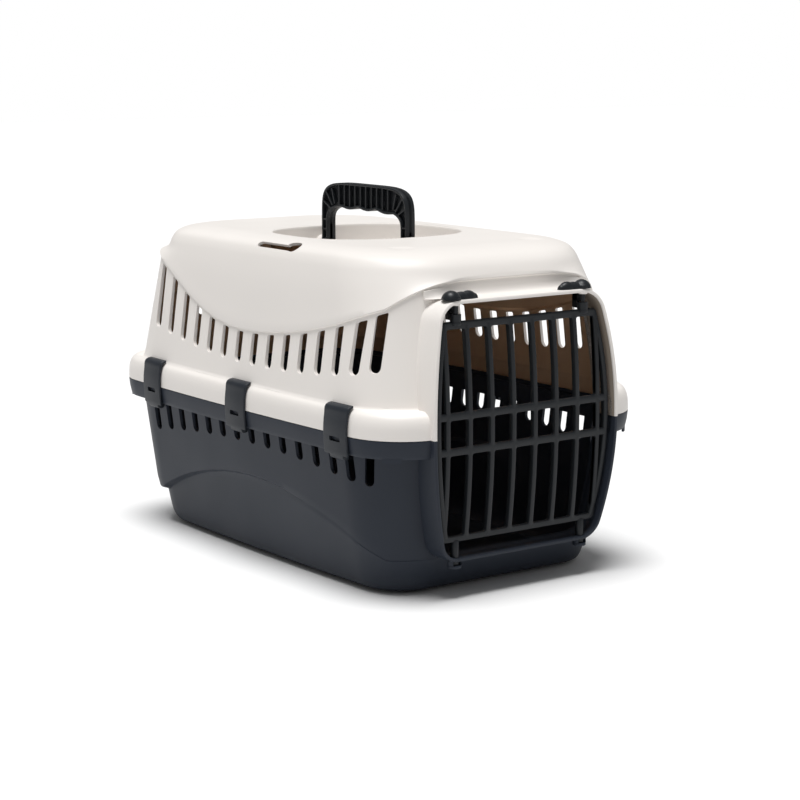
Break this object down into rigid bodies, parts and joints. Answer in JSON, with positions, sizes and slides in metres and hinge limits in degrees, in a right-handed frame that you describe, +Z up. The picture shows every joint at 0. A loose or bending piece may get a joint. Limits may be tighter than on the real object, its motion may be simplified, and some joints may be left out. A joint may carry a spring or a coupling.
{
  "type": "pet_keeper",
  "caption": "Small plastic cat carrier: cream vented top shell, grey base, barred front door with two latch knobs, folding handle and six side clips",
  "frame": {"origin": "middle of the box on the ground, under the feet", "axes": "+Z up, the door faces -Y, +X is the right-hand side when facing along +Y"},
  "size_m": [0.2942, 0.46, 0.3235],
  "materials": {
    "cream_plastic": "satin, fine moulded grain",
    "slate_plastic": "satin, fine moulded grain",
    "door_plastic": "satin",
    "clip_plastic": "satin"
  },
  "bodies": {
    "shell": {"top_shell": "cream_plastic", "base_shell": "slate_plastic"},
    "door": {"door": "door_plastic"},
    "latch_left": {"latch_left": "door_plastic"},
    "latch_right": {"latch_right": "door_plastic"},
    "handle": {"handle": "door_plastic"},
    "clip_left_rear": {"clip_left_rear": "clip_plastic"},
    "clip_left_middle": {"clip_left_middle": "clip_plastic"},
    "clip_left_front": {"clip_left_front": "clip_plastic"},
    "clip_right_rear": {"clip_right_rear": "clip_plastic"},
    "clip_right_middle": {"clip_right_middle": "clip_plastic"},
    "clip_right_front": {"clip_right_front": "clip_plastic"}
  },
  "joints": [
    {"name": "door_hinge", "type": "hinge", "parent": "shell", "child": "door", "pos_m": [0.0671, -0.2169, 0.1389], "axis": [0, 0, 1], "range_deg": [0, 120]},
    {"name": "latch_left_turn", "type": "hinge", "parent": "shell", "child": "latch_left", "pos_m": [-0.0671, -0.2169, 0.24], "axis": [0, 0, -1], "range_deg": [0, 90]},
    {"name": "latch_right_turn", "type": "hinge", "parent": "shell", "child": "latch_right", "pos_m": [0.0671, -0.2169, 0.24], "axis": [0, 0, 1], "range_deg": [0, 90]},
    {"name": "handle_fold", "type": "hinge", "parent": "shell", "child": "handle", "pos_m": [0, 0, 0.267], "axis": [0, 1, 0], "range_deg": [-90, 90]},
    {"name": "clip_left_rear_open", "type": "hinge", "parent": "shell", "child": "clip_left_rear", "pos_m": [-0.13783, 0.14196, 0.1181], "axis": [-0.0389, -0.9992, 0], "range_deg": [0, 75]},
    {"name": "clip_left_middle_open", "type": "hinge", "parent": "shell", "child": "clip_left_middle", "pos_m": [-0.14089, -0.00771, 0.1181], "axis": [-0.002, -1, 0], "range_deg": [0, 75]},
    {"name": "clip_left_front_open", "type": "hinge", "parent": "shell", "child": "clip_left_front", "pos_m": [-0.13844, -0.15737, 0.1181], "axis": [0.0348, -0.9994, 0], "range_deg": [0, 75]},
    {"name": "clip_right_rear_open", "type": "hinge", "parent": "shell", "child": "clip_right_rear", "pos_m": [0.13783, 0.14196, 0.1181], "axis": [-0.0389, 0.9992, 0], "range_deg": [0, 75]},
    {"name": "clip_right_middle_open", "type": "hinge", "parent": "shell", "child": "clip_right_middle", "pos_m": [0.14089, -0.00771, 0.1181], "axis": [-0.002, 1, 0], "range_deg": [0, 75]},
    {"name": "clip_right_front_open", "type": "hinge", "parent": "shell", "child": "clip_right_front", "pos_m": [0.13844, -0.15737, 0.1181], "axis": [0.0348, 0.9994, 0], "range_deg": [0, 75]}
  ]
}
